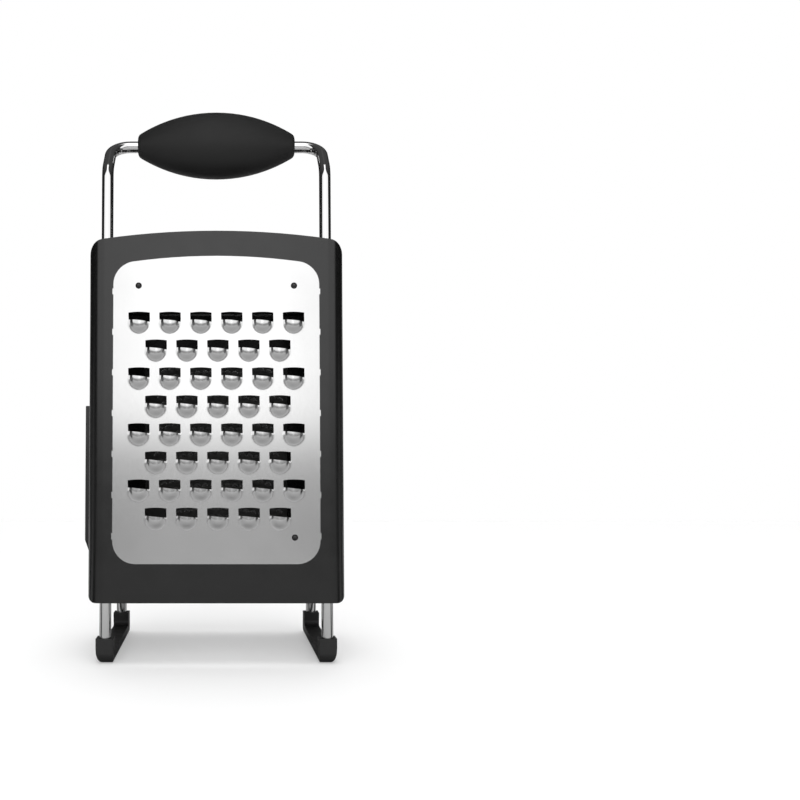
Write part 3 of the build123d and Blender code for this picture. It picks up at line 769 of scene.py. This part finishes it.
def pickBlockEnd(piece, away):
    # Selects the arched end of the block of rows, upper (1) or lower (-1), and not the rims of the slits
    c = fine
    middle = c["firstUp"] - (c["rows"] - 1) / 2 * c["pitchUp"]
    reach = c["pitchUp"] * (c["rows"] / 2 - 1 / c["upSteps"])
    bpy.ops.mesh.select_all(action="DESELECT")
    mesh = bmesh.from_edit_mesh(piece.data)
    for edge in mesh.edges:
        a, b = (point.co for point in edge.verts)
        level = abs(a.y - b.y) < abs(a.x - b.x)
        up = (a.y + b.y) / 2 + sagAt(min(abs(a.x), abs(b.x))) - middle
        edge.select_set(edge.is_boundary and level and up * away > reach)
    bmesh.update_edit_mesh(piece.data)


def makeFineBlade():
    c = fine
    tooth = makeFineTooth()
    blank = makeFlatTile(c, c["acrossSteps"], "fineBlank")
    halfBlank = makeFlatTile(c, c["acrossSteps"] // 2, "fineHalfBlank")
    tiles = []
    for row in range(c["rows"]):
        up = c["firstUp"] - row * c["pitchUp"]
        shift = -0.5 * c["pitchX"] if row % 2 else 0.0
        for i in range(c["perRow"]):
            x = (i - (c["perRow"] - 1) / 2) * c["pitchX"] + shift
            room = min(math.hypot(x - stakeX, up - sagAt(x) - stakeUp) for stakeX, stakeUp in rearStakes)
            tiles.append(copyOf(tooth if room > c["clear"] else blank, (x, up, 0)))
        # Half a blank beside the row's last tooth takes up the stagger
        end = (c["perRow"] / 2 + 0.25) * c["pitchX"] * (1 if row % 2 else -1) + shift
        tiles.append(copyOf(halfBlank, (end, up, 0)))
    for master in (tooth, blank, halfBlank):
        bpy.data.objects.remove(master)
    blade = joinAll(tiles, "finePlate")
    settle(blade)
    openMesh(blade)
    mergeAll()
    # Each column of points slips down, so that the rows lie on arcs
    step = c["pitchX"] / c["acrossSteps"]
    columns = (c["perRow"] + 1) // 2 * c["acrossSteps"]
    for k in range(-columns, columns):
        x = k * step
        pickPoints(blade, lambda p: x - step / 2 <= p.x < x + step / 2)
        bpy.ops.transform.translate(value=(0, -sagAt(x), 0))
    closeMesh()
    growSides(blade, c["halfWide"])
    for away, edge in ((1, c["plateTop"]), (-1, c["plateLow"])):
        pickBlockEnd(blade, away)
        pull((0, 0, 0))
        bpy.ops.transform.resize(value=(1, 0, 1), center_override=(0, edge, 0))
    upwards(blade)
    closeMesh()
    thicken(blade, c["thick"])
    shadeBy(blade, c["smooth"])
    settle(blade, rearWall() @ Matrix.Translation((0, 0, stance["plateFace"])))
    seat(blade, "root", "blade_steel", "fine_blade")


makeFineBlade()
print("grater: fine blade made")


# Sheet and ground steel on the two sides

sideSteel = {
    "ribbon_blade": "ribbonPlate",
    "slicer_plate": "slicerApproachPlate",
    "slicer_blade": "slicerBlade",
}
for node, name in sideSteel.items():
    seat(softenedCopy(node, name, softening["sheet"]), "root", "blade_steel", node)
print("grater: side steel made")


# Rods: a ring of points drawn up the leg, spun through each bend, and mirrored

rod = {"radius": 3.175 * mm, "sides": 40, "kinkSteps": 8, "cornerSteps": 16, "crownSteps": 6}
handle = {
    "bar": 290.3 * mm,          # the bar's height along the front wall
    "kinkDrop": 20.0 * mm,      # the legs turn back this far under the bar
    "back": 18.9 * mm,          # the bar behind the legs
    "kinkR": 12.0 * mm,
    "cornerR": 11.0 * mm,
}
lowHoop = {
    "ends": 236.5 * mm,         # the bar's ends along the rear wall
    "crown": 3.4 * mm,          # its middle above them
    "cornerR": 8.0 * mm,
    "crownShare": 0.9,          # share of half the bar that its bend takes
}


def startRod(name):
    bpy.ops.mesh.primitive_circle_add(vertices=rod["sides"], radius=rod["radius"], fill_type="NGON",
                                      location=(stance["legX"], stance["rodEnd"], 0),
                                      rotation=(math.pi / 2, 0, 0))
    piece = newPiece(name)
    settle(piece)
    openMesh(piece, "FACE")
    bpy.ops.mesh.select_all(action="SELECT")
    return piece


def drawRod(along, length):
    pull(tuple(along * length))


def spinRod(steps, angle, centre, axis):
    # A spin turns left-handed about its axis here
    bpy.ops.mesh.spin(steps=steps, angle=-angle, center=tuple(centre), axis=tuple(axis))


def finishRod(piece, wall, node):
    bpy.ops.mesh.delete(type="ONLY_FACE")
    closeMesh()
    mirrorHalf(piece)
    shadeBy(piece, 35)
    settle(piece, wall)
    seat(piece, "root", "chromed_rod", node)


def makeHandleHoop():
    h = handle
    piece = startRod("handleRod")
    up = Vector((0, 1, 0))
    turn = math.atan2(h["back"], h["kinkDrop"])
    kink = h["bar"] - h["kinkDrop"]
    tangent = h["kinkR"] * math.tan(turn / 2)
    drawRod(up, kink - tangent - stance["rodEnd"])
    place = Vector((stance["legX"], kink - tangent, 0))
    spinRod(rod["kinkSteps"], turn, place + Vector((0, 0, -h["kinkR"])), Vector((-1, 0, 0)))
    leant = Vector((0, math.cos(turn), -math.sin(turn)))
    slope = math.hypot(h["back"], h["kinkDrop"]) - tangent - h["cornerR"]
    drawRod(leant, slope)
    place = Vector((stance["legX"], kink, 0)) + leant * (tangent + slope)
    centre = place + Vector((-h["cornerR"], 0, 0))
    spinRod(rod["cornerSteps"], math.pi / 2, centre, Vector((1, 0, 0)).cross(leant))
    drawRod(Vector((-1, 0, 0)), stance["legX"] - h["cornerR"])
    finishRod(piece, frontWall(), "handle_hoop")


def makeLowHoop():
    h = lowHoop
    piece = startRod("lowRearRod")
    up = Vector((0, 1, 0))
    slope = math.atan(h["crown"] / stance["legX"])
    turn = math.pi / 2 - slope
    tangent = h["cornerR"] * math.tan(turn / 2)
    drawRod(up, h["ends"] - tangent - stance["rodEnd"])
    place = Vector((stance["legX"], h["ends"] - tangent, 0))
    spinRod(rod["cornerSteps"], turn, place + Vector((-h["cornerR"], 0, 0)), Vector((0, 0, 1)))
    barWay = Vector((-math.cos(slope), math.sin(slope), 0))
    crownR = h["crownShare"] * (stance["legX"] - h["cornerR"]) / 2 / math.tan(slope)
    straight = math.hypot(stance["legX"], h["crown"]) - tangent - crownR * math.tan(slope)
    drawRod(barWay, straight)
    place = Vector((stance["legX"], h["ends"], 0)) + barWay * (tangent + straight)
    centre = place + Vector((-math.sin(slope), -math.cos(slope), 0)) * crownR
    spinRod(rod["crownSteps"], slope, centre, Vector((0, 0, 1)))
    finishRod(piece, rearWall(), "rear_hoop")


makeHandleHoop()
makeLowHoop()
print("grater: rods drawn")


# Grip: an oval ring drawn out along the bar and swelled to the middle, with a blunt end round the rod

grip = {
    "long": 89.7 * mm,
    "tall": 37.9 * mm,
    "deep": 29.0 * mm,
    "endTall": 12.0 * mm,
    "up": 0.6 * mm,             # middle of the grip above the bar
    "sides": 56,
    "rings": (0.985, 0.95, 0.9, 0.8, 0.68, 0.54, 0.38, 0.2, 0.0),   # as shares of the half length
    "endShare": 0.84,           # blunt end against the arc of the sides
    "socket": 3.5 * mm,         # radius of the hole round the rod
    "socketDeep": 3.0 * mm,
    "edge": 0.7 * mm,           # rounding of the blunt end
}


def girthAt(share):
    # Arc-sided outline: section size at a share of the half length, against the middle
    g = grip
    sag = (g["tall"] - g["endTall"]) / 2
    half = g["long"] / 2
    r = (half ** 2 + sag ** 2) / (2 * sag)
    return 1 - (r - math.sqrt(r ** 2 - (share * half) ** 2)) / (g["tall"] / 2)


def makeGrip():
    g = grip
    half = g["long"] / 2
    endGirth = girthAt(1.0) * g["endShare"]
    bpy.ops.mesh.primitive_circle_add(vertices=g["sides"], radius=1, fill_type="NOTHING",
                                      rotation=(0, math.pi / 2, 0))
    piece = newPiece("softGrip")
    settle(piece)
    piece.scale = (1, g["socket"], g["socket"])
    piece.location = (half - g["socketDeep"], -g["up"], 0)
    settle(piece)
    openMesh(piece, "EDGE")
    bpy.ops.mesh.select_all(action="SELECT")
    pull((g["socketDeep"], 0, 0))
    pull((0, 0, 0))
    tall = endGirth * g["tall"] / 2
    deep = endGirth * g["deep"] / 2
    bpy.ops.transform.resize(value=(1, tall / g["socket"], deep / g["socket"]),
                             center_override=(half, -g["up"], 0))
    bpy.ops.transform.translate(value=(0, g["up"], 0))
    shareNow, girthNow = 1.0, endGirth
    for share in g["rings"]:
        pull(((share - shareNow) * half, 0, 0))
        ratio = girthAt(share) / girthNow
        bpy.ops.transform.resize(value=(1, ratio, ratio), center_override=(0, 0, 0))
        shareNow, girthNow = share, girthAt(share)
    closeMesh()
    mirrorHalf(piece)
    applyModifier(piece, "BEVEL", width=g["edge"], segments=3, limit_method="ANGLE",
                  angle_limit=math.radians(35))
    applyModifier(piece, "SUBSURF", levels=1, render_levels=1)
    shadeBy(piece, 40)
    up = handle["bar"] + g["up"]
    settle(piece, frontWall() @ Matrix.Translation((0, up, -handle["back"])))
    seat(piece, "root", "soft_grip", "grip_cover")


makeGrip()
for core in ("grip_core_front", "grip_core_back"):
    dress(nodes[core], "grip_core")
print("grater: grip made")


# Studio: white floor and background, a large soft light in front, and black flags for the steel to mirror

studio = {
    "floorHalf": 1.15,
    "floorColour": "#d0d0d0",
    # In mirrors the floor is darker close to the object (painted shadow) and under the flags (painted shade)
    "floorMirrored": "#b4b4b4",     # what polished steel sees of the floor
    "mirroredNearShadow": "#acacac",      # and close to the object
    "mirroredFlagShade": "#161616",      # and beside it, under the flags
    "floorLift": 0.3,               # glow that only the camera sees, up to white where no shadow falls
    "ambient": 0.42,
    "front": 1.85,                  # soft light in front, as steel sees it
    "back": 0.8,                    # and behind
    "low": 0.55,                    # under the soft light's lower edge
    "lowSide": 0.2,
    "gapLight": 0.35,
    "dark": 0.02,
    "flagBehind": 0.3,              # the flags reach further in behind the object
    "roofFlag": 0.66,               # and overhead
    "roofDark": 0.09,
    "sideShare": 0.72,              # share of the light that is left away from the middle
    "cardHalf": 0.092,              # edges of the dark cards beyond the casing, as sines
    "cardLow": -0.1,
    "cardTop": 0.108,
    "cardSoft": 0.004,
}

# Where one light passes into the next: sines to the side, to the rear or of the height; metres on the floor
passing = {
    "floorAway": {"From Min": 0.1, "From Max": 0.6},
    "floorFlag": {"From Min": 0.84, "From Max": 0.94},
    "gap": {"From Min": 0.982, "From Max": 0.988},          # a lighter gap in the flags, square to the side
    "flag": {"From Min": 0.80, "From Max": 0.88},
    "roof": {"From Min": 0.3, "From Max": 0.85},
    "frontToBack": {"From Min": -0.3, "From Max": 0.3},
    "topToBack": {"From Min": -0.1, "From Max": 0.02},
    "frontTop": {"From Min": 0.955, "From Max": 0.985},     # upper edge of the soft light
    "backTop": {"From Min": 0.16, "From Max": 0.24},        # and of the one behind
    "lowEdge": {"From Min": 0.10, "From Max": 0.135},
    "middle": {"From Min": 0.0, "From Max": 0.2},
}


def makeFloorMaterial():
    # Matt white floor that keeps the object's shadow; mirrors see it greyer, with painted shadow close to the
    # object and painted shade under the flags
    floor = emptyTree(bpy.data.materials.new("paleFloor"))
    rays = addNode(floor, "ShaderNodeLightPath")
    place = addNode(floor, "ShaderNodeTexCoord")
    away = addNode(floor, "ShaderNodeVectorMath", {0: (place, "Object")}, operation="LENGTH")
    far = addNode(floor, "ShaderNodeMapRange", {"Value": (away, "Value"), **passing["floorAway"]})
    mirrored = addNode(floor, "ShaderNodeMix", {
        "Factor": (far, "Result"),
        "A": toLinear(studio["mirroredNearShadow"]), "B": toLinear(studio["floorMirrored"]),
    }, data_type="RGBA")
    ends = addNode(floor, "ShaderNodeSeparateXYZ", {"Vector": (place, "Object")})
    aside = addNode(floor, "ShaderNodeMath", {0: (ends, "X")}, operation="ABSOLUTE")
    sine = addNode(floor, "ShaderNodeMath", {0: (aside, "Value"), 1: (away, "Value")}, operation="DIVIDE")
    flag = addNode(floor, "ShaderNodeMapRange", {
        "Value": (sine, "Value"), **passing["floorFlag"],
    }, interpolation_type="SMOOTHSTEP")
    gap = addNode(floor, "ShaderNodeMapRange", {
        "Value": (sine, "Value"), "To Min": 1.0, "To Max": 0.0, **passing["gap"],
    }, interpolation_type="SMOOTHSTEP")
    flagged = addNode(floor, "ShaderNodeMath", {
        0: (flag, "Result"), 1: (gap, "Result"),
    }, operation="MULTIPLY")
    flagShadedFloor = addNode(floor, "ShaderNodeMix", {
        "Factor": (flagged, "Value"), "A": (mirrored, "Result"), "B": toLinear(studio["mirroredFlagShade"]),
    }, data_type="RGBA")
    colour = addNode(floor, "ShaderNodeMix", {
        "Factor": (rays, "Is Glossy Ray"), "A": toLinear(studio["floorColour"]), "B": (flagShadedFloor, "Result"),
    }, data_type="RGBA")
    lift = addNode(floor, "ShaderNodeMath", {
        0: (rays, "Is Camera Ray"), 1: studio["floorLift"],
    }, operation="MULTIPLY")
    matt = addNode(floor, "ShaderNodeBsdfDiffuse", {"Color": (colour, "Result")})
    glow = addNode(floor, "ShaderNodeEmission", {"Strength": (lift, "Value")})
    both = addNode(floor, "ShaderNodeAddShader", {0: (matt, "BSDF"), 1: (glow, "Emission")})
    addNode(floor, "ShaderNodeOutputMaterial", {"Surface": (both, "Shader")})
    return floor


def makeFloor():
    bpy.ops.mesh.primitive_grid_add(x_subdivisions=2, y_subdivisions=2, size=2 * studio["floorHalf"])
    floor = newPiece("studioFloor")
    floor.data.materials.append(makeFloorMaterial())


def addMirrorLight(world, way, aside):
    # Mirrors see a white front above a grey low part, a softer back, and black flags to both sides
    behind = addNode(world, "ShaderNodeMath", {0: (way, "Y"), 1: 0.0}, operation="MAXIMUM")
    further = addNode(world, "ShaderNodeMath", {
        0: (behind, "Value"), 1: studio["flagBehind"],
    }, operation="MULTIPLY")
    wide = addNode(world, "ShaderNodeMath", {0: (aside, "Value"), 1: (further, "Value")}, operation="ADD")
    roof = addNode(world, "ShaderNodeMapRange", {
        "Value": (way, "Z"), "To Max": studio["roofFlag"], **passing["roof"],
    }, interpolation_type="SMOOTHSTEP")
    flag = addNode(world, "ShaderNodeMath", {0: (wide, "Value"), 1: (roof, "Result")}, operation="ADD")
    between = addNode(world, "ShaderNodeMapRange", {
        "Value": (flag, "Value"), "To Min": 1.0, "To Max": studio["dark"], **passing["flag"],
    }, interpolation_type="SMOOTHSTEP")
    level = addNode(world, "ShaderNodeMapRange", {
        "Value": (way, "Y"), "To Min": studio["front"], "To Max": studio["back"], **passing["frontToBack"],
    }, interpolation_type="SMOOTHSTEP")
    frontTop = addNode(world, "ShaderNodeMapRange", {
        "Value": (way, "Z"), "To Min": 1.0, "To Max": studio["dark"], **passing["frontTop"],
    }, interpolation_type="SMOOTHSTEP")
    backTop = addNode(world, "ShaderNodeMapRange", {
        "Value": (way, "Z"), "To Min": 1.0, "To Max": studio["dark"], **passing["backTop"],
    }, interpolation_type="SMOOTHSTEP")
    inFront = addNode(world, "ShaderNodeMapRange", {
        "Value": (way, "Y"), "To Min": 1.0, "To Max": 0.0, **passing["topToBack"],
    }, interpolation_type="SMOOTHSTEP")
    top = addNode(world, "ShaderNodeMix", {
        "Factor": (inFront, "Result"), "A": (backTop, "Result"), "B": (frontTop, "Result"),
    })
    under = addNode(world, "ShaderNodeMath", {
        0: (level, "Result"), 1: (top, "Result"),
    }, operation="MULTIPLY")
    lit = addNode(world, "ShaderNodeMath", {
        0: (under, "Value"), 1: (between, "Result"),
    }, operation="MULTIPLY")
    gloom = addNode(world, "ShaderNodeMapRange", {
        "Value": (way, "Z"), "To Min": studio["dark"], "To Max": studio["roofDark"], **passing["roof"],
    }, interpolation_type="SMOOTHSTEP")
    high = addNode(world, "ShaderNodeMath", {0: (lit, "Value"), 1: (gloom, "Result")}, operation="MAXIMUM")
    low = addNode(world, "ShaderNodeMapRange", {
        "Value": (flag, "Value"), "To Min": studio["low"], "To Max": studio["lowSide"], **passing["flag"],
    }, interpolation_type="SMOOTHSTEP")
    raised = addNode(world, "ShaderNodeMapRange", {
        "Value": (way, "Z"), **passing["lowEdge"],
    }, interpolation_type="SMOOTHSTEP")
    whole = addNode(world, "ShaderNodeMix", {
        "Factor": (raised, "Result"), "A": (low, "Result"), "B": (high, "Value"),
    })
    fallOff = addNode(world, "ShaderNodeMapRange", {
        "Value": (aside, "Value"), "To Min": 1.0, "To Max": studio["sideShare"], **passing["middle"],
    }, interpolation_type="SMOOTHSTEP")
    graded = addNode(world, "ShaderNodeMath", {
        0: (whole, "Result"), 1: (fallOff, "Result"),
    }, operation="MULTIPLY")
    gap = addNode(world, "ShaderNodeMapRange", {
        "Value": (aside, "Value"), **passing["gap"],
    }, interpolation_type="SMOOTHSTEP")
    return addNode(world, "ShaderNodeMix", {
        "Factor": (gap, "Result"), "A": (graded, "Value"), "B": studio["gapLight"],
    })


def addBackdrop(world, way, aside):
    # White, but for dark cards beyond the casing, hidden by it, so that the slots don't shine
    half, top, low = studio["cardHalf"], studio["cardTop"], studio["cardLow"]
    soft = studio["cardSoft"]
    across = addNode(world, "ShaderNodeMapRange", {
        "Value": (aside, "Value"), "From Min": half, "From Max": half + soft, "To Min": 1.0, "To Max": 0.0,
    }, interpolation_type="SMOOTHSTEP")
    upper = addNode(world, "ShaderNodeMapRange", {
        "Value": (way, "Z"), "From Min": top, "From Max": top + soft, "To Min": 1.0, "To Max": 0.0,
    }, interpolation_type="SMOOTHSTEP")
    lower = addNode(world, "ShaderNodeMapRange", {
        "Value": (way, "Z"), "From Min": low - soft, "From Max": low,
    }, interpolation_type="SMOOTHSTEP")
    tall = addNode(world, "ShaderNodeMath", {
        0: (upper, "Result"), 1: (lower, "Result"),
    }, operation="MULTIPLY")
    card = addNode(world, "ShaderNodeMath", {
        0: (tall, "Value"), 1: (across, "Result"),
    }, operation="MULTIPLY")
    return addNode(world, "ShaderNodeMapRange", {
        "Value": (card, "Value"), "To Min": 1.0, "To Max": studio["dark"],
    }, interpolation_type="SMOOTHSTEP")


def makeWorld():
    # The camera sees the backdrop, mirrors see the studio's lights, and all else gets an even ambient light
    world = emptyTree(bpy.data.worlds.new("studioWorld"))
    bpy.context.scene.world = world
    rays = addNode(world, "ShaderNodeLightPath")
    place = addNode(world, "ShaderNodeTexCoord")
    way = addNode(world, "ShaderNodeSeparateXYZ", {"Vector": (place, "Generated")})
    aside = addNode(world, "ShaderNodeMath", {0: (way, "X")}, operation="ABSOLUTE")
    mirror = addMirrorLight(world, way, aside)
    backdrop = addBackdrop(world, way, aside)
    direct = addNode(world, "ShaderNodeMix", {
        "Factor": (rays, "Is Camera Ray"), "A": studio["ambient"], "B": (backdrop, "Result"),
    })
    total = addNode(world, "ShaderNodeMix", {
        "Factor": (rays, "Is Glossy Ray"), "A": (direct, "Result"), "B": (mirror, "Result"),
    })
    shell = addNode(world, "ShaderNodeBackground", {
        "Color": toLinear("#ffffff"), "Strength": (total, "Result"),
    })
    addNode(world, "ShaderNodeOutputWorld", {"Surface": (shell, "Background")})


softbox = {"at": (0, -1.25, 0.86), "aim": (0, -0.04, 0.18), "size": (1.5, 1.1), "power": 8.0}
# A row of small suns from front to back stands for a long strip light overhead
overhead = {"power": 0.53, "wide": math.radians(30), "tilts": (-14, -1, 12, 25)}


def addLamp(name, kind, power):
    data = bpy.data.lights.new(name, kind)
    data.energy = power
    light = bpy.data.objects.new(name, data)
    light.visible_glossy = False
    bpy.context.scene.collection.objects.link(light)
    return light


def makeLamps():
    light = addLamp("frontSoftbox", "AREA", softbox["power"])
    light.data.shape = "RECTANGLE"
    light.data.size, light.data.size_y = softbox["size"]
    light.location = softbox["at"]
    away = Vector(softbox["at"]) - Vector(softbox["aim"])
    light.rotation_euler = away.to_track_quat("Z", "Y").to_euler()
    for i, tilt in enumerate(overhead["tilts"]):
        light = addLamp(f"overheadStrip{i}", "SUN", overhead["power"])
        light.data.angle = overhead["wide"]
        light.rotation_euler = (-math.radians(tilt), 0, 0)


camera = {
    "lens": 40.59,
    "sensor": 36.0,
    "at": (0, -530 * mm, 107.2 * mm),
    "shift": (0.2296, 0.0795),      # the grater stands to the left of the frame and a little low
}


def makeCamera():
    data = bpy.data.cameras.new("studioCamera")
    data.lens = camera["lens"]
    data.sensor_width = camera["sensor"]
    data.shift_x, data.shift_y = camera["shift"]
    eye = bpy.data.objects.new("studioCamera", data)
    bpy.context.scene.collection.objects.link(eye)
    eye.location = camera["at"]
    eye.rotation_euler = (math.pi / 2, 0, 0)
    bpy.context.scene.camera = eye


makeFloor()
makeWorld()
makeLamps()
makeCamera()
bpy.context.scene.view_settings.view_transform = "Standard"
print("grater: studio set")
